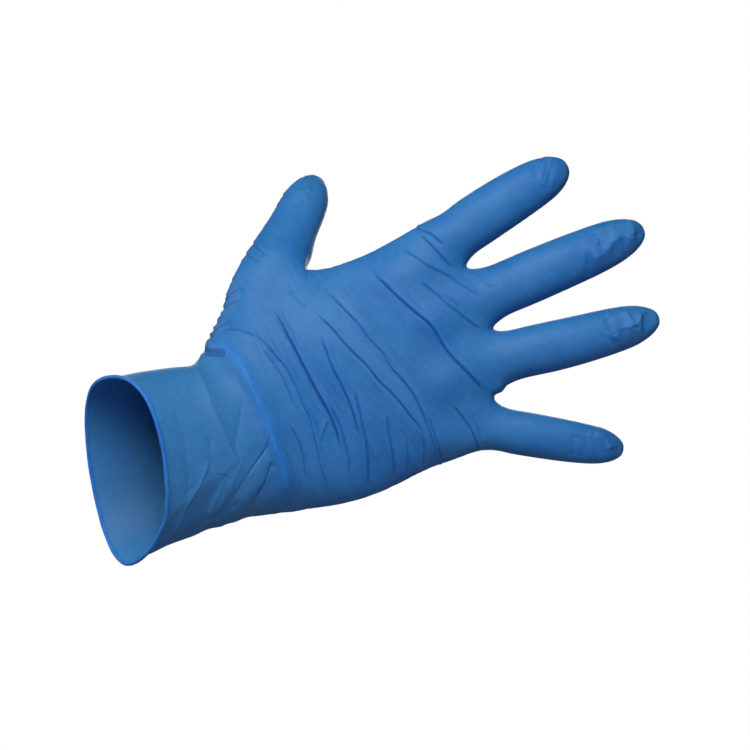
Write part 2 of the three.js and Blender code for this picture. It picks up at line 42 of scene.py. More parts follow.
# The view: its roll, its own directions, the place it aims at, and how far and wide it looks
ROLL = math.radians(24)
RIGHT = Vector((math.cos(ROLL), 0, -math.sin(ROLL)))
UP = Vector((math.sin(ROLL), 0, math.cos(ROLL)))
TOWARDS_CAMERA = Vector((0, -1, 0))
AIM = Vector((113.7, 20, -6.9)) * MM
DISTANCE = 1300 * MM
VIEW_WIDTH = 315 * MM
SENSOR = 36
CLIP_END = 20

# The stage
FLOOR_DROP = 620 * MM
FLOOR_SIZE = 3.0
FLOOR_BEHIND = 480 * MM
ROOM_LIGHT = 0.05
WHITE_LIGHT = (1, 1, 1)
COOL_LIGHT = (0.22, 0.36, 1.0)

# Soft lights, aimed at the glove. direction: to the right, up and towards the camera.
LIGHTS = [
    {"name": "key", "direction": (-0.1, 0.8, 1.0), "distance": 0.85, "size": 0.6, "power": 8.1,
     "colour": WHITE_LIGHT},
    {"name": "fill", "direction": (0.2, -0.45, 1.0), "distance": 1.0, "size": 0.4, "power": 1.1,
     "colour": COOL_LIGHT},
    {"name": "behind", "direction": (0.1, 0.15, -1.2), "distance": 1.1, "size": 0.7, "power": 8,
     "colour": WHITE_LIGHT},
    {"name": "mouth_side", "direction": (-1.0, 0.15, -0.1), "distance": 1.0, "size": 0.6, "power": 4,
     "colour": WHITE_LIGHT},
]

# The plain solid's skin. The tables below were traced, in millimetres, on a glove of TRACED_LENGTH.
# Triangles are joined into quads where they bend and skew no more than this, and then smoothed.
TRACED_LENGTH = 242.6
WELD = 0.001 * MM
RIM_ANGLE = math.radians(45)
QUAD_BEND = math.radians(50)
QUAD_SKEW = math.radians(60)
SMOOTHING = 2

# The film's thickness at the lip and further in, and the way over which it grows
FILM = 0.35 * MM
DEEP_FILM = 1.1 * MM
FILM_GROWS = 20 * MM

# The rolled bead: its radius, and how much and how often along a metre the radius varies
BEAD = 0.85 * MM
BEAD_SIDES = 10
BEAD_UNEVEN = 0.14
BEAD_WAVES = 120

# The mesh is cut finer near the folds, once for each reach in millimetres, where the normal's y is
# below FINE_TURN
FINE_REACHES = (1.7, 0.65)
FINE_TURN = 0.1

# Folds. route: places along and across. sink and width: depth and half width of the crease on the
# route. lift and spread: height and half width of the ridge beside it. ridge: the ridge's distance
# from the crease, to the left of the route's run where positive, which is towards the fingertips
# where the route runs from the thumb's side.
WRIST_FOLDS = [
    {"route": [(52, 38), (56, 32.5), (60.5, 29.5), (63, 26), (64.5, 21), (65, 14.5), (65, 9), (65, 2.5),
               (65, -4.5), (64.5, -12), (64, -18.5), (64, -25.5), (62, -32.5), (58, -41.5)],
     "sink": 0, "width": 0.81, "lift": 1.3, "spread": 2.4, "ridge": 0},
    {"route": [(50, 33), (53, 31), (55.5, 29), (58, 28), (61, 25.5)],
     "sink": 1, "width": 1.22, "lift": 0.3, "spread": 1.15, "ridge": -1.6},
    {"route": [(71, 31.5), (74, 29), (77, 24), (79, 17), (81, 10.5), (81.5, 2.5), (81.5, -5),
               (81.5, -11.5), (80.5, -18.5), (79, -25.5), (77.5, -32.5), (76.5, -40), (74, -48)],
     "sink": 0.35, "width": 0.54, "lift": 0.63, "spread": 1.15, "ridge": 1.1},
    {"route": [(75, 23), (77, 15), (78, 8), (78, 0), (77.5, -6)],
     "sink": 0.3, "width": 0.47, "lift": 0.42, "spread": 0.98, "ridge": 0.9},
    {"route": [(73, -11), (73.5, -20), (72, -28), (69.5, -36)],
     "sink": 0.36, "width": 0.54, "lift": 0.45, "spread": 1.03, "ridge": 1},
    {"route": [(60, 36), (65.5, 35), (70, 32.5), (75.5, 27)],
     "sink": 0.3, "width": 0.6, "lift": 0.45, "spread": 1.1, "ridge": 1.1},
]
BACK_FOLDS = [
    {"route": [(85.5, 37), (86.5, 30), (87, 22), (87.5, 14), (88, 5.5), (88.5, -2.5), (89, -8.5),
               (89.5, -15), (89, -23.5), (87, -31)],
     "sink": 0.62, "width": 0.61, "lift": 0.91, "spread": 1.15, "ridge": 1.2},
    {"route": [(91, -8), (91.5, -14.5), (91.5, -22), (90.5, -28.5), (89, -35), (86, -42)],
     "sink": 0.38, "width": 0.54, "lift": 0.42, "spread": 1.03, "ridge": 1},
    {"route": [(99.5, 18), (98.5, 3), (99, -4), (99, -12), (98.5, -19), (97, -28)],
     "sink": 0.45, "width": 0.54, "lift": 0.91, "spread": 1.32, "ridge": 1.4},
    {"route": [(103.5, -7), (102.5, -15), (101, -22), (99.5, -29.5), (97, -37.5), (92, -49)],
     "sink": 0.5, "width": 0.54, "lift": 0.5, "spread": 1.03, "ridge": -1.4},
    {"route": [(100.5, 29), (102, 25), (105, 18), (107, 11), (109.5, 4), (112, -2), (114, -10),
               (116.5, -16), (118.5, -22), (120, -28.5), (121.5, -33.5), (122.5, -40)],
     "sink": 0.5, "width": 0.47, "lift": 0.42, "spread": 1.03, "ridge": 1},
    {"route": [(108, 36), (112.5, 24), (115.5, 15.5), (117.5, 7.5), (120, 0), (121, -7.5), (123, -13),
               (124.5, -20), (125, -26), (125, -32), (124.5, -40), (123, -53)],
     "sink": 0.38, "width": 0.54, "lift": 0.49, "spread": 1.15, "ridge": 1},
    {"route": [(127, -31), (126.5, -38), (125.5, -46), (124.5, -54)],
     "sink": 0.44, "width": 0.54, "lift": 0.42, "spread": 1.03, "ridge": -1},
    {"route": [(115, 20), (119, 6.5), (121.5, -3), (123.5, -11)],
     "sink": 0.25, "width": 0.54, "lift": 0.28, "spread": 1.03, "ridge": -1},
    {"route": [(112, -23), (109.5, -30.5), (108, -36), (106.5, -42), (103.5, -50)],
     "sink": 0.42, "width": 0.61, "lift": 0.42, "spread": 1.15, "ridge": -1.1},
    {"route": [(115, -36), (112, -44), (109, -51)],
     "sink": 0.35, "width": 0.61, "lift": 0.35, "spread": 1.15, "ridge": 1.1},
    {"route": [(122, -37), (119.5, -44), (116, -51)],
     "sink": 0.35, "width": 0.54, "lift": 0.35, "spread": 1.03, "ridge": 1},
    {"route": [(89, -16), (85.5, -19.5), (81, -24)],
     "sink": 0.14, "width": 0.54, "lift": 0.49, "spread": 1.03, "ridge": -1},
    {"route": [(94, 41), (96.5, 35.5), (98.5, 30)],
     "sink": 0.25, "width": 0.54, "lift": 0.28, "spread": 1.03, "ridge": 1},
]
KNUCKLE_FOLDS = [
    {"route": [(129, 34), (133, 24.5), (136, 17), (139, 10.5), (142, 4.5), (143.5, -0.5), (144.5, -8),
               (146, -14), (148.5, -20.5), (151, -27.5), (153, -34)],
     "sink": 0.62, "width": 0.61, "lift": 0.77, "spread": 1.38, "ridge": 1.3},
    {"route": [(146, 22), (150.5, 13.5), (153, 7.5), (156, 2), (159, -3.5), (163, -9)],
     "sink": 0.44, "width": 0.54, "lift": 0.42, "spread": 1.15, "ridge": 1},
    {"route": [(153, 13), (155.5, 8.5), (157, 4.5)],
     "sink": 0.25, "width": 0.47, "lift": 0.28, "spread": 0.98, "ridge": 0.8},
    {"route": [(144, 37), (149, 30.5), (151.5, 26), (155, 22), (159, 17), (162, 12), (166.5, 5)],
     "sink": 0.31, "width": 0.61, "lift": 0.42, "spread": 1.32, "ridge": 1.2},
    {"route": [(153.5, 44), (158.5, 37.5), (160, 34.5), (161.5, 31)],
     "sink": 0.5, "width": 0.47, "lift": 0.42, "spread": 1.03, "ridge": 0.9},
    {"route": [(154, 40), (157, 32.5), (158.5, 28), (160, 23.5), (161.5, 20)],
     "sink": 0.38, "width": 0.54, "lift": 0.49, "spread": 1.03, "ridge": 1},
    {"route": [(164.5, 16), (169, 11.5), (173, 6)],
     "sink": 0.19, "width": 0.61, "lift": 0.28, "spread": 1.03, "ridge": 1},
    {"route": [(138, -31), (139.5, -37), (140.5, -42), (141, -47.5), (140.5, -54)],
     "sink": 0.44, "width": 0.61, "lift": 0.35, "spread": 1.15, "ridge": 1.1},
    {"route": [(144.5, -35), (144, -41), (143.5, -45.5), (142, -52)],
     "sink": 0.25, "width": 0.61, "lift": 0.35, "spread": 1.15, "ridge": 1},
]
CUFF_FOLDS = [
    {"route": [(47.5, 30), (49, 18.5), (48.5, 11), (48.5, 3.5), (48.5, -5), (48.5, -12.5), (49.5, -20)],
     "sink": 0.19, "width": 0.4, "lift": 0.3, "spread": 1.2, "ridge": -1.2},
    {"route": [(38, -12.5), (32.5, -17), (29, -20), (25.5, -22.5), (22.5, -24.5), (19, -27)],
     "sink": 0.31, "width": 0.35, "lift": 0.3, "spread": 0.85, "ridge": -0.9},
    {"route": [(64, -11.5), (60.5, -16), (57, -18.5), (52.5, -21), (48, -24)],
     "sink": 0.38, "width": 0.35, "lift": 0, "spread": 0.9, "ridge": 1},
    {"route": [(61, -21.5), (58, -25), (53.5, -29.5), (49, -33)],
     "sink": 0.38, "width": 0.35, "lift": 0, "spread": 0.9, "ridge": 1},
    {"route": [(37.5, -17.5), (40.5, -19.5), (43, -22.5)],
     "sink": 0.22, "width": 0.6, "lift": 0.1, "spread": 0.9, "ridge": 0.8},
]
THUMB_FOLDS = [
    {"route": [(86.5, 70), (89, 65), (90.5, 61.5), (92.5, 57.5)],
     "sink": 0.45, "width": 0.55, "lift": 0.35, "spread": 1, "ridge": 1.1},
    {"route": [(82, 64.5), (86.5, 59.5), (88.5, 55.5)],
     "sink": 0.4, "width": 0.55, "lift": 0.35, "spread": 1, "ridge": 1.1},
    {"route": [(67, 46), (72, 48.5), (75, 49), (79.5, 48)],
     "sink": 0.4, "width": 0.55, "lift": 0.35, "spread": 1, "ridge": 1.1},
    {"route": [(63, 42), (67, 44.5), (70.5, 45), (75.5, 44.5)],
     "sink": 0.35, "width": 0.55, "lift": 0.35, "spread": 1, "ridge": -1.1},
    {"route": [(56, 35), (60.5, 37), (64.5, 38), (69.5, 37.5)],
     "sink": 0.35, "width": 0.45, "lift": 0.35, "spread": 1, "ridge": 1.1},
    {"route": [(104, 83), (108, 80), (113, 78.5)],
     "sink": 0.35, "width": 0.45, "lift": 0.35, "spread": 1, "ridge": 1},
    {"route": [(99, 79), (103, 76.5), (108, 76)],
     "sink": 0.25, "width": 0.45, "lift": 0.25, "spread": 1, "ridge": 1},
]

# Folds of the palm, wide and shallow
PALM_FOLDS = [
    {"route": [(150, -40), (146.5, -24), (148, -9), (153, 5), (159, 16)],
     "sink": 0.5, "width": 1.3, "lift": 0.35, "spread": 1.5, "ridge": 1.6},
    {"route": [(119, -34), (122, -14), (129, 4), (137, 18), (141, 30)],
     "sink": 0.45, "width": 1.3, "lift": 0.35, "spread": 1.5, "ridge": -1.6},
    {"route": [(84, 4), (93, 12), (105, 17), (119, 22), (133, 31)],
     "sink": 0.6, "width": 1.5, "lift": 0.4, "spread": 1.6, "ridge": 1.8},
    {"route": [(74, 36), (76, 20), (77, 4), (76.5, -14), (74, -34)],
     "sink": 0.5, "width": 1.3, "lift": 0.5, "spread": 1.5, "ridge": 1.6},
    {"route": [(66, 33), (67, 18), (67.5, 2), (67, -15), (65, -32)],
     "sink": 0.4, "width": 1.2, "lift": 0.4, "spread": 1.4, "ridge": 1.5},
]
FOLDS = WRIST_FOLDS + BACK_FOLDS + KNUCKLE_FOLDS + CUFF_FOLDS + THUMB_FOLDS

# The step between the points of a route, the share of a fold over which each end fades, how steeply
# ridge and crease fall to their sides, and how many half widths away a ridge still counts
ROUTE_STEP = 1.0
FOLD_END = 0.13
RIDGE_FALL = 1.6
CREASE_FALL = 1.4
RIDGE_REACH = 4

# Crests, where the loose film turns from one facet into the next. lift: height, or depth where
# negative. left and right: how far the slope runs to each side of the route's run. CREST_FALL: how
# steeply it falls. CREST_REACH: how many times that far a crest still counts.
CRESTS = [
    {"route": [(214.5, 1), (219, 0.5), (223.5, 1.5), (227, 3.5), (229.5, 4), (233, 3), (237, 0)],
     "lift": 1.3, "left": 4.5, "right": 2.8},
    {"route": [(237.5, 9), (237, 5.5), (236.5, 2.5)], "lift": 0.77, "left": 1.6, "right": 1.6},
    {"route": [(222, 10), (222.5, 6), (221.5, 3)], "lift": -0.85, "left": 1.8, "right": 1.8},
    {"route": [(209, -33), (212, -31.5), (215, -31), (218, -31.5), (221, -33.5), (225, -35)],
     "lift": 1.05, "left": 4, "right": 2.8},
    {"route": [(219.5, -24), (220.5, -29), (220.5, -33)], "lift": 0.85, "left": 1.6, "right": 1.6},
    {"route": [(221, -33), (224.5, -30.5), (229, -28)], "lift": 1.02, "left": 1.8, "right": 1.4},
    {"route": [(212, -23), (211.5, -28), (212.5, -33)], "lift": -0.85, "left": 1.5, "right": 1.5},
    {"route": [(188, -66), (191, -69.5), (191.5, -72), (191, -76)], "lift": 1.02, "left": 2, "right": 2},
    {"route": [(180, -63.5), (178, -67.5), (175, -72)], "lift": -0.4, "left": 1.6, "right": 1.6},
    {"route": [(184.5, -66.5), (182, -70), (178.5, -74)], "lift": -0.35, "left": 1.8, "right": 1.8},
    {"route": [(219, 47), (215.5, 42.5), (213, 40), (209, 36)], "lift": 0.6, "left": 1.9, "right": 1.9},
    {"route": [(216, 48), (211, 45.5), (208, 41)], "lift": -0.59, "left": 1.5, "right": 1.5},
    {"route": [(38, -12.5), (32.5, -17), (29, -20), (25.5, -22.5), (22.5, -24.5), (19, -27), (11, -33)],
     "lift": 0.9, "left": 2.2, "right": 3.2},
    {"route": [(40, -21), (35, -25.5), (31, -29), (27, -32.5)], "lift": 0.5, "left": 1.3, "right": 1.3},
    {"route": [(63, -12.5), (60.5, -16), (57, -18.5), (52.5, -21), (48, -24), (43.5, -27), (38.5, -30),
               (33.5, -32)],
     "lift": -0.55, "left": 1.8, "right": 1.5},
    {"route": [(61, -22), (58, -25), (53.5, -29.5), (49, -33), (44.5, -35)],
     "lift": -0.55, "left": 1.5, "right": 1.3},
    {"route": [(43, -32), (35.5, -33), (28.5, -33.5), (18, -34.5), (11, -35)],
     "lift": -0.55, "left": 1.5, "right": 1.5},
    {"route": [(49, 25), (49, 17.5), (48.5, 11.5), (48.5, 5.5), (48.5, -1), (48.5, -10)],
     "lift": 0.4, "left": 1.6, "right": 2.4},
    {"route": [(60, 7), (56.5, 0.5), (53, -4.5), (49.5, -10.5), (48.5, -16), (48, -22)],
     "lift": -0.35, "left": 1.4, "right": 1.6},
    {"route": [(34, 16), (32.5, 6.5), (32, 0.5), (30.5, -5.5), (28.5, -11.5), (25.5, -17), (22, -24)],
     "lift": -0.4, "left": 2, "right": 2},
    {"route": [(42, -2), (39, -9.5), (36.5, -16)], "lift": -0.35, "left": 1.4, "right": 1.4},
    {"route": [(112, 80.5), (116, 78), (121.5, 78)], "lift": 0.6, "left": 1.8, "right": 1.5},
    {"route": [(108, 77), (112.5, 74.5), (117.5, 74.5)], "lift": -0.45, "left": 1.6, "right": 1.6},
]
CREST_FALL = 1.1
CREST_REACH = 3

# Crumples. turn: degrees from the glove's axis to the run of the crumples. pitch: the distance
# between them. CRUMPLE_DROP: how far they fall between their edges, as a share of the height.
CUFF_CRUMPLE = {"turn": 27, "pitch": 5.5, "length": 30, "height": 0.6}
THUMB_CRUMPLE = {"turn": -37, "pitch": 3.2, "length": 13, "height": 0.55}
TIP_CRUMPLE = {"turn": 65, "pitch": 4.8, "length": 9, "height": 0.55}
CRUMPLE_DROP = 2.4

# Where the film is loose. rise and fade: the spans along the glove over which it turns loose and
# taut again. below, above and outward: the spans over which it turns loose away from the thumb's
# side, towards it, and out of the thumb's outer edge, which OUTWARD gives along and across.
OUTWARD = (-0.8, 0.6)
LOOSE_CUFF = {"rise": (2, 12), "fade": (50, 66), "below": (2, 26)}
LOOSE_THUMB = {"rise": (50, 58), "fade": (88, 104), "above": (30, 38), "outward": (-37, -27)}
LOOSE_TIPS = {"rise": (203, 214)}
LOOSE_LITTLE_TIP = {"rise": (177, 187), "below": (60, 66)}

# Fine wrinkles run beside the folds of the back: the pitch between them, their length and height,
# and how far they drop between their edges. Slow waves lie under them. Both fan out between
# FAN_START and FAN_FULL. The wrinkles are faint where the waves are low.
WRINKLE_PITCH = 2.6
WRINKLE_LENGTH = 34.0
WRINKLE_HEIGHT = 0.16
WRINKLE_DROP = 2.2
WRINKLE_SEED = 7.0
WAVE_LENGTH = 19.0
WAVE_HEIGHT = 0.16
FAN_SLANT = 0.33
FAN_START = 62.0
FAN_FULL = 112.0
HAND_WRINKLES = {"rise": (50, 66), "fade": (118, 160)}
CUFF_WRINKLES = {"share": 0.45, "fade": (40, 66)}
FAINTEST_WRINKLE = 0.4
FAINT_WRINKLES = (-0.3, 0.4)

# How far a place's normal has to turn for it to count as the back's, as squarely on the back, and
# as the palm's: spans of the normal's y, with its sign turned for the back
ON_BACK = (-0.3, 0.15)
SQUARE_ON_BACK = (0.35, 0.8)
ON_PALM = (0.2, 0.6)

# Dents and swellings of the back. at: along and across. size: half length and half width.
# turn: degrees from the glove's axis towards the thumb. lift: height, or depth where negative.
# FORM_FALL: how steeply they fall to their sides.
BACK_FORMS = [
    {"at": (142, 29), "size": (11, 9), "turn": 0, "lift": 0.7},
    {"at": (151, 4), "size": (10, 8), "turn": 0, "lift": 0.6},
    {"at": (146, -24), "size": (10, 8), "turn": 0, "lift": 0.5},
    {"at": (134, -46), "size": (9, 7), "turn": -20, "lift": 0.5},
    {"at": (159, -33), "size": (2.4, 2.4), "turn": 0, "lift": 1.3},
]
FORM_FALL = 1.5


def smooth_step(low, high, value):
    """0 below low, 1 above high, and a soft rise between them."""
    share = np.clip((value - low) / (high - low), 0, 1)
    return share * share * (3 - 2 * share)


def between(rise, fade, value):
    """1 between the two spans, with a soft rise over the first and a soft fall over the second."""
    return smooth_step(*rise, value) * (1 - smooth_step(*fade, value))


# The film's mesh


def outer_skin(node):
    """The node's outer skin alone: what is reached from the longest fingertip without passing the rim."""
    mesh = bmesh.new()
    mesh.from_mesh(node.data)
    bmesh.ops.remove_doubles(mesh, verts=mesh.verts, dist=WELD)
    mesh.normal_update()
    first = max(mesh.faces, key=lambda face: face.calc_center_median().x)
    reached = {first}
    waiting = [first]
    while waiting:
        face = waiting.pop()
        for edge in face.edges:
            if edge.calc_face_angle(math.pi) > RIM_ANGLE:
                continue
            for other in edge.link_faces:
                if other not in reached:
                    reached.add(other)
                    waiting.append(other)
    bmesh.ops.delete(mesh, geom=[f for f in mesh.faces if f not in reached], context="FACES")
    bmesh.ops.join_triangles(
        mesh,
        faces=mesh.faces,
        angle_face_threshold=QUAD_BEND,
        angle_shape_threshold=QUAD_SKEW,
    )
    return mesh


def new_piece(name, mesh):
    """A piece of the glove from a bmesh, in the frame."""
    data = bpy.data.meshes.new(name)
    mesh.to_mesh(data)
    mesh.free()
    piece = bpy.data.objects.new(name, data)
    bpy.context.scene.collection.objects.link(piece)
    return piece


def subdivided(mesh, levels):
    """The same mesh after so many levels of subdivision."""
    cage = new_piece("cage", mesh)
    modifier = cage.modifiers.new("smooth", "SUBSURF")
    modifier.levels = levels
    modifier.boundary_smooth = "ALL"
    graph = bpy.context.evaluated_depsgraph_get()
    result = bmesh.new()
    result.from_mesh(cage.evaluated_get(graph).data)
    bpy.data.objects.remove(cage)
    return result


def refine_near_folds(mesh, reach, scale):
    """One more cut in the faces that lie within reach of a crest, or of the line midway between a
    fold's crease and its ridge, apart from the faces that are turned to the palm."""
    mesh.normal_update()
    faces = [face for face in mesh.faces if face.normal.y < FINE_TURN]
    flat = np.array([face.calc_center_median().xz for face in faces]) / (MM * scale)
    chosen = np.zeros(len(faces), bool)
    for form in FOLDS + CRESTS:
        ridge = form.get("ridge", 0)
        line = route_points(form["route"])
        near = near_line(flat, line, reach + abs(ridge))
        near[near] = np.abs(across_and_along(flat[near], line)[0] - ridge / 2) < reach
        chosen |= near
    edges = {edge for face, fine in zip(faces, chosen) if fine for edge in face.edges}
    bmesh.ops.subdivide_edges(mesh, edges=list(edges), cuts=1, use_grid_fill=True)


def places_and_normals(mesh):
    """Arrays of the mesh's vertex places and normals."""
    places = np.array([v.co for v in mesh.verts])
    normals = np.array([v.normal for v in mesh.verts])
    return places, normals


# The folds


def route_points(route):
    """A smooth line through the route's places, with a point about every step."""
    ends = [2 * np.array(route[0]) - route[1], 2 * np.array(route[-1]) - route[-2]]
    knots = np.array([ends[0], *route, ends[1]], float)
    line = []
    for i in range(1, len(knots) - 2):
        a, b, c, d = knots[i - 1 : i + 3]
        count = max(2, int(np.linalg.norm(c - b) / ROUTE_STEP))
        for t in np.arange(count) / count:
            bend = 2 * a - 5 * b + 4 * c - d
            twist = 3 * b - a - 3 * c + d
            line.append(0.5 * (2 * b + (c - a) * t + bend * t**2 + twist * t**3))
    line.append(knots[-2])
    return np.array(line)


def near_line(flat, line, reach):
    """Which places lie inside the line's box, grown by the reach."""
    return np.all((flat > line.min(0) - reach) & (flat < line.max(0) + reach), axis=1)


def across_and_along(flat, line):
    """For each place: its distance from the line, positive to the left of the line's run, and the
    share of the line's length at the nearest point."""
    starts = line[:-1]
    spans = line[1:] - starts
    lengths = np.linalg.norm(spans, axis=1)
    gaps = flat[:, None, :] - starts[None]
    share = np.clip((gaps * spans).sum(2) / lengths**2, 0, 1)
    offsets = gaps - share[..., None] * spans[None]
    distances = np.linalg.norm(offsets, axis=2)
    nearest = distances.argmin(1)
    rows = np.arange(len(flat))
    offset = offsets[rows, nearest]
    span = spans[nearest]
    side = np.sign(span[:, 0] * offset[:, 1] - span[:, 1] * offset[:, 0])
    run = np.concatenate([[0], np.cumsum(lengths)])
    along = (run[nearest] + share[rows, nearest] * lengths[nearest]) / run[-1]
    return side * distances[rows, nearest], along


def beside(flat, route, reach):
    """Which places lie near the route, their distances from it, and a share that fades at its ends."""
    line = route_points(route)
    near = near_line(flat, line, reach)
    distance, along = across_and_along(flat[near], line)
    ends = smooth_step(0, FOLD_END, along) * smooth_step(0, FOLD_END, 1 - along)
    return near, distance, ends


def profile(distance, width, fall):
    """1 in the middle, and less to both sides."""
    return np.exp(-((np.abs(distance) / width) ** fall))


def fold_shapes(flat, fold):
    """The height of one fold's ridge and the depth of its crease at each place."""
    reach = RIDGE_REACH * fold["spread"] + abs(fold["ridge"])
    near, distance, ends = beside(flat, fold["route"], reach)
    ridge = np.zeros(len(flat))
    crease = np.zeros(len(flat))
    ridge[near] = ends * fold["lift"] * profile(distance - fold["ridge"], fold["spread"], RIDGE_FALL)
    crease[near] = ends * fold["sink"] * profile(distance, fold["width"], CREASE_FALL)
    return ridge, crease


def folded(flat, folds):
    """The highest ridge and the deepest crease of the folds at each place."""
    ridges, creases = zip(*[fold_shapes(flat, fold) for fold in folds])
    return np.max(ridges, 0), np.max(creases, 0)


def crest_height(flat, crest):
    """The height of a crest at each place: a crisp edge with a slope to each side."""
    reach = CREST_REACH * max(crest["left"], crest["right"])
    near, distance, ends = beside(flat, crest["route"], reach)
    width = np.where(distance > 0, crest["left"], crest["right"])
    height = np.zeros(len(flat))
    height[near] = crest["lift"] * ends * profile(distance, width, CREST_FALL)
    return height


def form_height(flat, form):
    """The height of a soft oval dent or swelling at each place."""
    turn = math.radians(form["turn"])
    gap = flat - np.array(form["at"])
    along = (gap[:, 0] * math.cos(turn) + gap[:, 1] * math.sin(turn)) / form["size"][0]
    across = (gap[:, 1] * math.cos(turn) - gap[:, 0] * math.sin(turn)) / form["size"][1]
    return form["lift"] * np.exp(-(along**2 + across**2) ** FORM_FALL)


def noise_at(rows):
    """Smooth noise, from -1 to 1, at each row of three numbers."""
    return np.array([noise.noise(row) for row in rows])


def wrinkles(millimetres):
    """Fine wrinkles and slow waves that fan out from the wrist towards the finger roots."""
    along, depth, across = millimetres.T
    slant = FAN_SLANT * smooth_step(FAN_START, FAN_FULL, along)
    fan = along + slant * across
    fine_place = [fan / WRINKLE_PITCH, across / WRINKLE_LENGTH + WRINKLE_SEED, depth / WRINKLE_LENGTH]
    fine = noise_at(np.stack(fine_place, 1))
    wave_width = 2 * WAVE_LENGTH
    slow_place = [fan / WAVE_LENGTH, across / wave_width - WRINKLE_SEED, depth / wave_width]
    slow = noise_at(np.stack(slow_place, 1))
    on_hand = between(HAND_WRINKLES["rise"], HAND_WRINKLES["fade"], along)
    on_cuff = CUFF_WRINKLES["share"] * (1 - smooth_step(*CUFF_WRINKLES["fade"], along))
    patchy = FAINTEST_WRINKLE + (1 - FAINTEST_WRINKLE) * smooth_step(*FAINT_WRINKLES, slow)
    crisp = 1 - WRINKLE_DROP * np.abs(fine)
    return WRINKLE_HEIGHT * (on_hand + on_cuff) * patchy * crisp + WAVE_HEIGHT * slow


def crumple(millimetres, kind):
    """Crumples of one kind: crisp edges that run at its turn."""
    along, depth, across = millimetres.T
    turn = math.radians(kind["turn"])
    over = (along * math.sin(turn) - across * math.cos(turn)) / kind["pitch"]
    run = (along * math.cos(turn) + across * math.sin(turn)) / kind["length"]
    folds = noise_at(np.stack([over, run, depth / kind["length"]], 1))
    return kind["height"] * (1 - CRUMPLE_DROP * np.abs(folds))


def loose_film(millimetres):
    """The crumples of the lower cuff and of the thumb's outer edge, flat elsewhere."""
    along, depth, across = millimetres.T
    at_cuff = between(LOOSE_CUFF["rise"], LOOSE_CUFF["fade"], along)
    at_cuff *= smooth_step(*LOOSE_CUFF["below"], -across)
    outward = OUTWARD[0] * along + OUTWARD[1] * across
    at_thumb = between(LOOSE_THUMB["rise"], LOOSE_THUMB["fade"], along)
    at_thumb *= smooth_step(*LOOSE_THUMB["above"], across) * smooth_step(*LOOSE_THUMB["outward"], outward)
    return at_cuff * crumple(millimetres, CUFF_CRUMPLE) + at_thumb * crumple(millimetres, THUMB_CRUMPLE)


def loose_tips(millimetres):
    """The crumples of the fingertips, flat elsewhere."""
    along, depth, across = millimetres.T
    at_little = smooth_step(*LOOSE_LITTLE_TIP["rise"], along)
    at_little *= smooth_step(*LOOSE_LITTLE_TIP["below"], -across)
    at_tips = smooth_step(*LOOSE_TIPS["rise"], along) + at_little
    return at_tips * crumple(millimetres, TIP_CRUMPLE)


def relief(places, normals, scale):
    """How far each place of the film is raised, and its share of ridge and of crease, in millimetres."""
    millimetres = places / (MM * scale)
    flat = millimetres[:, [0, 2]]
    on_back = smooth_step(*ON_BACK, -normals[:, 1])
    on_palm = smooth_step(*ON_PALM, normals[:, 1])
    ridge, crease = folded(flat, FOLDS)
    palm_ridge, palm_crease = folded(flat, PALM_FOLDS)
    forms = sum(form_height(flat, form) for form in BACK_FORMS)
    forms += sum(crest_height(flat, crest) for crest in CRESTS)
    height = (ridge - crease + forms) * on_back + (palm_ridge - palm_crease) * on_palm
    square = smooth_step(*SQUARE_ON_BACK, -normals[:, 1])
    height += wrinkles(millimetres) + loose_film(millimetres) + loose_tips(millimetres) * square
    return height, ridge * on_back, crease * on_back


def raise_film(mesh, scale):
    """Moves each vertex along its normal by the relief, and gives back its ridges and creases."""
    mesh.normal_update()
    places, normals = places_and_normals(mesh)
    height, ridge, crease = relief(places, normals, scale)
    for vertex, place in zip(mesh.verts, places + normals * (height * MM * scale)[:, None]):
        vertex.co = place
    mesh.normal_update()
    return {"ridge": ridge, "crease": crease}


def finish_skin(piece, shares):
    """Smooth shading, with the ridges and creases kept on the mesh for the material."""
    piece.data.shade_smooth()
    for name, values in shares.items():
        kept = piece.data.attributes.new(name, "FLOAT", "POINT")
        kept.data.foreach_set("value", values.astype(np.float32))


def inner_skin(mesh, shares):
    """The inside of the film: the same skin, moved in and turned over."""
    lip = np.array([v.co for v in mesh.verts if v.is_boundary])
    for vertex in mesh.verts:
        deep = 1.0
        if vertex.co.x < lip[:, 0].max() + FILM_GROWS:
            deep = min(1.0, np.linalg.norm(lip - np.array(vertex.co), axis=1).min() / FILM_GROWS)
        vertex.co -= vertex.normal * (FILM + (DEEP_FILM - FILM) * deep)
    bmesh.ops.reverse_faces(mesh, faces=mesh.faces)
    piece = new_piece("film_inside", mesh)
    finish_skin(piece, shares)
    return piece


def rim_loop(mesh):
    """The vertices of the open rim, in order."""
    edges = {edge for edge in mesh.edges if edge.is_boundary}
    first = min(edges, key=lambda edge: edge.index)
    loop = [first.verts[0]]
    here = first.verts[1]
    edges.remove(first)
    while edges:
        loop.append(here)
        edge = next(e for e in here.link_edges if e in edges)
        edges.remove(edge)
        here = edge.other_vert(here)
    return loop


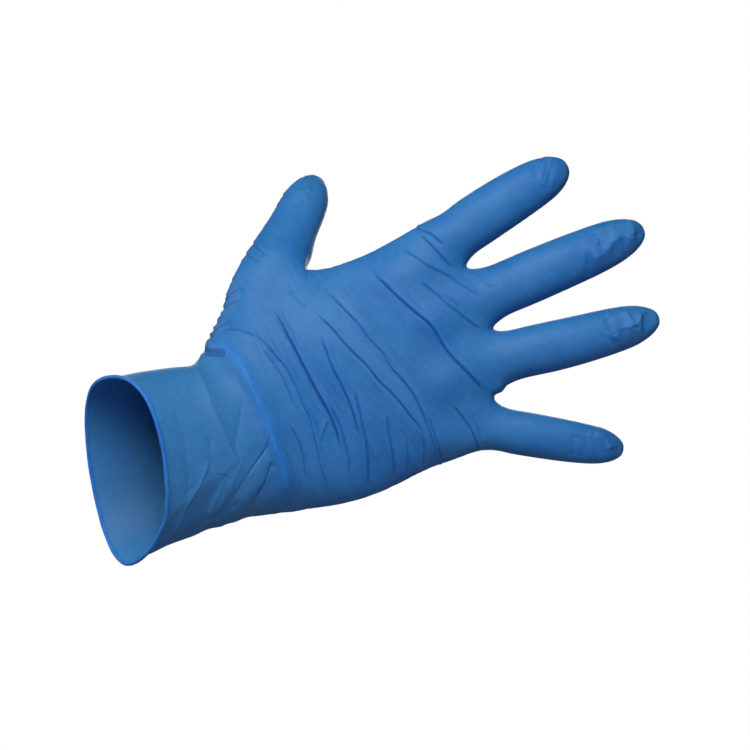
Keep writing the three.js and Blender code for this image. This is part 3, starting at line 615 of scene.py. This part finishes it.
def rolled_bead(loop):
    """The roll round the mouth: a tube along the rim, a little uneven."""
    centres = [v.co - 0.5 * FILM * v.normal for v in loop]
    normals = [v.normal.copy() for v in loop]
    count = len(centres)
    turns = [math.tau * k / BEAD_SIDES for k in range(BEAD_SIDES)]
    mesh = bmesh.new()
    rings = []
    for i, centre in enumerate(centres):
        forward = (centres[(i + 1) % count] - centres[i - 1]).normalized()
        out = (normals[i] - normals[i].dot(forward) * forward).normalized()
        side = forward.cross(out)
        radius = BEAD * (1 + BEAD_UNEVEN * noise.noise(centre * BEAD_WAVES))
        spokes = [math.cos(turn) * out + math.sin(turn) * side for turn in turns]
        rings.append([mesh.verts.new(centre + radius * spoke) for spoke in spokes])
    for i in range(count):
        ring, following = rings[i], rings[(i + 1) % count]
        for k in range(BEAD_SIDES):
            mesh.faces.new((ring[k], ring[k - 1], following[k - 1], following[k]))
    bmesh.ops.recalc_face_normals(mesh, faces=mesh.faces)
    piece = new_piece("cuff_bead", mesh)
    finish_skin(piece, {})
    return piece


# Materials


class Value:
    """A shader socket that takes part in sums, so that a material's maths reads as maths."""

    def __init__(self, maker, socket):
        self.maker = maker
        self.socket = socket

    def __add__(self, other):
        return self.maker.maths("ADD", self, other)

    def __radd__(self, other):
        return self.maker.maths("ADD", other, self)

    def __sub__(self, other):
        return self.maker.maths("SUBTRACT", self, other)

    def __rsub__(self, other):
        return self.maker.maths("SUBTRACT", other, self)

    def __mul__(self, other):
        return self.maker.maths("MULTIPLY", self, other)

    def __rmul__(self, other):
        return self.maker.maths("MULTIPLY", other, self)

    def clamped(self):
        """The same, kept between 0 and 1."""
        return self.maker.maths("MINIMUM", self.maker.maths("MAXIMUM", self, 0.0), 1.0)


class Maker:
    """Makes the nodes of one material, or of the world."""

    def __init__(self, owner):
        owner.use_nodes = True
        self.tree = owner.node_tree
        self.tree.nodes.clear()

    def node(self, kind, settings=None, inputs=None, output=0):
        """A new node with its settings and inputs. Gives back the output that is asked for."""
        made = self.tree.nodes.new("ShaderNode" + kind)
        for name, value in (settings or {}).items():
            setattr(made, name, value)
        for slot, value in (inputs or {}).items():
            if isinstance(value, Value):
                self.tree.links.new(value.socket, made.inputs[slot])
            else:
                made.inputs[slot].default_value = value
        return Value(self, made.outputs[output]) if made.outputs else made

    def maths(self, operation, first, second):
        """One operation on two values."""
        return self.node("Math", {"operation": operation}, {0: first, 1: second})

    def place(self):
        """The place on the piece, in metres."""
        return self.node("TexCoord", output="Object")

    def noise(self, place, scale, detail=2.0, roughness=0.5):
        """Noise from 0 to 1, with about so many cells to a metre."""
        return self.node(
            "TexNoise",
            {"noise_dimensions": "3D"},
            {"Vector": place, "Scale": scale, "Detail": detail, "Roughness": roughness},
            "Fac",
        )

    def axis(self, place, name):
        """One of the place's three numbers."""
        return self.node("SeparateXYZ", None, {0: place}, name)

    def ramp(self, value, low, high):
        """0 below low and 1 above high."""
        return self.node(
            "MapRange",
            {"interpolation_type": "SMOOTHSTEP"},
            {"Value": value, "From Min": low, "From Max": high},
        )

    def mix(self, share, first, second):
        """A colour between the first and the second."""
        return self.node(
            "Mix", {"data_type": "RGBA"}, {"Factor": share, 6: first, 7: second}, output=2
        )

    def by_sight(self, seen, unseen):
        """One shader for what the camera sees, and another for the light thrown on other things."""
        sight = self.node("LightPath", output="Is Camera Ray")
        return self.node("MixShader", None, {0: sight, 1: unseen, 2: seen})


# Colours, as shares of red, green and blue light, and how solid they are
WHITE = (1, 1, 1, 1)
FLOOR_BOUNCE = (0.40, 0.40, 0.39, 1)
FLOOR_PALE = (0.80, 0.80, 0.79, 1)
NITRILE_BLUE = (0.021, 0.153, 0.418, 1)
LIT_BLUE = (0.030, 0.176, 0.434, 1)
CUFF_BLUE = (0.038, 0.187, 0.402, 1)
# Painted shade, mixed into the film in the creases and along the fine lines
CREASE_SHADE_BLUE = (0.006, 0.050, 0.260, 1)
# Painted highlight for the ridges of the folds, and also the darker end of the bead's own blue
RIDGE_HIGHLIGHT_AND_BEAD_BLUE = (0.024, 0.190, 0.580, 1)
RIM_BLUE = (0.018, 0.150, 0.560, 1)

# The noise in the film's look: how many cells to a metre, how fine and how rough
CLOUDS = {"scale": 45, "detail": 3}
PATCHES = {"scale": 60, "detail": 1}
MOTTLE = {"scale": 380, "detail": 3, "roughness": 0.6}
GRAIN = {"scale": 1300, "detail": 2, "roughness": 0.6}
CLOUD_SPAN = (0.35, 0.65)

# How far the mottle and the grain change the brightness and the roughness, and raise the surface
SPECKLE = {"base": 0.70, "mottle": 0.36, "grain": 0.24}
MATTNESS = {"base": 0.50, "mottle": 0.12}
BUMP = {"mottle": 0.5, "grain": 0.5, "lines": 0.5}
BUMP_HEIGHT = 0.3 * MM
BUMP_STRENGTH = 0.5
SHINE = 0.25

# Stretch lines: how many to a metre, how far they are drawn out (a smaller number is longer), how
# narrow they are, how faint they are off the hand's back, and the spans along the glove, across it
# and in patches over which they come and go
LINES = {"scale": 300}
LINE_STRETCH = 0.08
LINE_NARROWS = 4
FAINTEST_LINE = 0.25
LINES_RISE = (52 * MM, 70 * MM)
LINES_FADE = (130 * MM, 165 * MM)
LINES_THUMB = (34 * MM, 48 * MM)
LINE_PATCH = (0.42, 0.62)

# How far each mark colours the film, and the span over which it does so: the painted highlight on
# ridges and the painted shade in creases in millimetres of relief, the cuff in metres from the mouth.
# The last share darkens the fine lines, as painted shade.
RIDGE_HIGHLIGHT_MARK = {"share": 0.7, "span": (0.2, 1.2)}
CREASE_SHADE_MARK = {"share": 0.5, "span": (0.03, 0.5)}
CUFF_MARK = {"share": 0.7, "span": (45 * MM, 75 * MM)}
LINE_SHADE_SHARE = 0.16


def fine_lines(maker, place):
    """Faint stretch lines, 0 to 1, that fan out from the wrist as the geometry's wrinkles do."""
    along = maker.axis(place, "X")
    across = maker.axis(place, "Z")
    slant = maker.ramp(along, FAN_START * MM, FAN_FULL * MM) * FAN_SLANT
    fan = maker.node(
        "CombineXYZ",
        None,
        {
            "X": along + slant * across,
            "Y": maker.axis(place, "Y") * LINE_STRETCH,
            "Z": across * LINE_STRETCH,
        },
    )
    lines = 1 - maker.maths("ABSOLUTE", maker.noise(fan, **LINES) * 2 - 1, 0) * LINE_NARROWS
    on_hand = maker.ramp(along, *LINES_RISE) * (1 - maker.ramp(along, *LINES_FADE))
    off_thumb = 1 - maker.ramp(across, *LINES_THUMB)
    strength = FAINTEST_LINE + (1 - FAINTEST_LINE) * on_hand
    patchy = maker.ramp(maker.noise(place, **PATCHES), *LINE_PATCH)
    return lines.clamped() * strength * off_thumb * patchy


def nitrile(name, bead=False):
    """Matte blue nitrile: mottled grain, painted highlight on ridges, painted shade in creases and lines.
    """
    material = bpy.data.materials.new(name)
    maker = Maker(material)
    place = maker.place()
    cloud = maker.noise(place, **CLOUDS)
    mottle = maker.noise(place, **MOTTLE)
    grain = maker.noise(place, **GRAIN)
    dark, light = (RIDGE_HIGHLIGHT_AND_BEAD_BLUE, RIM_BLUE) if bead else (NITRILE_BLUE, LIT_BLUE)
    colour = maker.mix(maker.ramp(cloud, *CLOUD_SPAN), dark, light)
    height = mottle * BUMP["mottle"] + grain * BUMP["grain"]
    if not bead:
        ridge = maker.node("Attribute", {"attribute_name": "ridge"}, output="Fac")
        crease = maker.node("Attribute", {"attribute_name": "crease"}, output="Fac")
        lines = fine_lines(maker, place)
        on_cuff = 1 - maker.ramp(maker.axis(place, "X"), *CUFF_MARK["span"])
        colour = maker.mix(on_cuff * CUFF_MARK["share"], colour, CUFF_BLUE)
        # Painted highlight: lighter on the ridges of the folds
        ridge_highlight = maker.ramp(ridge, *RIDGE_HIGHLIGHT_MARK["span"])
        colour = maker.mix(ridge_highlight * RIDGE_HIGHLIGHT_MARK["share"], colour, RIDGE_HIGHLIGHT_AND_BEAD_BLUE)
        # Painted shade: darker in the creases and along the fine stretch lines
        crease_shade = maker.ramp(crease, *CREASE_SHADE_MARK["span"])
        painted_shade_share = crease_shade * CREASE_SHADE_MARK["share"] + lines * LINE_SHADE_SHARE
        colour = maker.mix(painted_shade_share, colour, CREASE_SHADE_BLUE)
        height = height - lines * BUMP["lines"]
    speckle = SPECKLE["base"] + SPECKLE["mottle"] * mottle + SPECKLE["grain"] * grain
    colour = maker.node("VectorMath", {"operation": "SCALE"}, {0: colour, "Scale": speckle})

    bump = maker.node(
        "Bump", None, {"Strength": BUMP_STRENGTH, "Distance": BUMP_HEIGHT, "Height": height}
    )
    shader = maker.node(
        "BsdfPrincipled",
        None,
        {
            "Base Color": colour,
            "Roughness": MATTNESS["base"] + MATTNESS["mottle"] * mottle,
            "Specular IOR Level": SHINE,
            "Normal": bump,
        },
    )
    maker.node("OutputMaterial", None, {"Surface": shader})
    return material


def pale_finish():
    """The floor's even pale finish: it looks pale, and throws back little light."""
    material = bpy.data.materials.new("pale_floor")
    maker = Maker(material)
    matte = maker.node("BsdfPrincipled", None, {"Base Color": FLOOR_BOUNCE, "Roughness": 0.9})
    pale = maker.node("Emission", None, {"Color": FLOOR_PALE})
    maker.node("OutputMaterial", None, {"Surface": maker.by_sight(pale, matte)})
    return material


def white_room():
    """A world that looks white and gives little light."""
    world = bpy.data.worlds.new("white_room")
    maker = Maker(world)
    dim = maker.node("Background", None, {"Color": WHITE, "Strength": ROOM_LIGHT})
    white = maker.node("Background", None, {"Color": WHITE})
    maker.node("OutputWorld", None, {"Surface": maker.by_sight(white, dim)})
    return world


# The stage, lights and camera


def make_floor():
    """A plain pale floor below the glove."""
    low = AIM.z - FLOOR_DROP
    near, far = AIM.y - FLOOR_SIZE / 2, AIM.y + FLOOR_BEHIND
    left, right = AIM.x - FLOOR_SIZE / 2, AIM.x + FLOOR_SIZE / 2
    data = bpy.data.meshes.new("floor")
    places = [(left, near, low), (right, near, low), (right, far, low), (left, far, low)]
    data.from_pydata(places, [], [(0, 1, 2, 3)])
    data.materials.append(pale_finish())
    floor = bpy.data.objects.new("floor", data)
    bpy.context.scene.collection.objects.link(floor)


def soft_light(name, direction, distance, size, power, colour):
    """A square soft light, aimed at the glove, that the camera doesn't see."""
    right, up, forward = direction
    away = (right * RIGHT + up * UP + forward * TOWARDS_CAMERA).normalized()
    data = bpy.data.lights.new(name, "AREA")
    data.shape = "SQUARE"
    data.size = size
    data.energy = power
    data.color = colour
    light = bpy.data.objects.new(name, data)
    light.location = AIM + distance * away
    light.visible_camera = False
    light.rotation_euler = away.to_track_quat("Z", "Y").to_euler()
    bpy.context.scene.collection.objects.link(light)


def make_lights():
    """The soft lights, the white room, and plain colours in the picture."""
    for light in LIGHTS:
        soft_light(**light)
    bpy.context.scene.world = white_room()
    bpy.context.scene.view_settings.view_transform = "Standard"


def make_camera():
    """The camera, level with the glove and rolled to the photo's angle."""
    data = bpy.data.cameras.new("view")
    data.sensor_width = SENSOR
    data.lens = SENSOR * DISTANCE / VIEW_WIDTH
    data.clip_end = CLIP_END
    camera = bpy.data.objects.new("view", data)
    axes = Matrix((RIGHT, UP, TOWARDS_CAMERA)).transposed().to_4x4()
    camera.matrix_world = Matrix.Translation(AIM + DISTANCE * TOWARDS_CAMERA) @ axes
    bpy.context.scene.collection.objects.link(camera)
    bpy.context.scene.camera = camera


def make_glove(frame):
    """The film's outside and inside and its rolled bead, in place of the frame's plain glove."""
    node = frame["nodes"]["glove"]
    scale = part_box("glove")[1].x / (TRACED_LENGTH * MM)
    skin = subdivided(outer_skin(node), SMOOTHING)
    inside = skin.copy()
    inside_shares = raise_film(inside, scale)
    for reach in FINE_REACHES:
        refine_near_folds(skin, reach, scale)
    shares = raise_film(skin, scale)
    bead = rolled_bead(rim_loop(skin))
    film = new_piece("film_outside", skin)
    finish_skin(film, shares)
    lining = inner_skin(inside, inside_shares)

    film.data.materials.append(nitrile("nitrile_outside"))
    lining.data.materials.append(nitrile("nitrile_inside"))
    bead.data.materials.append(nitrile("nitrile_bead", bead=True))
    for piece in (film, lining, bead):
        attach(piece, "root")
        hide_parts("glove")


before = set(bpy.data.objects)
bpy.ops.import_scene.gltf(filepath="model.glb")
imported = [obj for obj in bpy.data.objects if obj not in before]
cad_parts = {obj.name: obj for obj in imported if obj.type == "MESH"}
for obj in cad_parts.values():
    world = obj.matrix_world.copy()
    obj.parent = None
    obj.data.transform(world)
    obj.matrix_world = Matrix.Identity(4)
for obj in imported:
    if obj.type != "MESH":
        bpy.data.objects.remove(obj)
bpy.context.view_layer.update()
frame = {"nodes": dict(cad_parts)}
make_camera()
make_floor()
make_lights()
make_glove(frame)
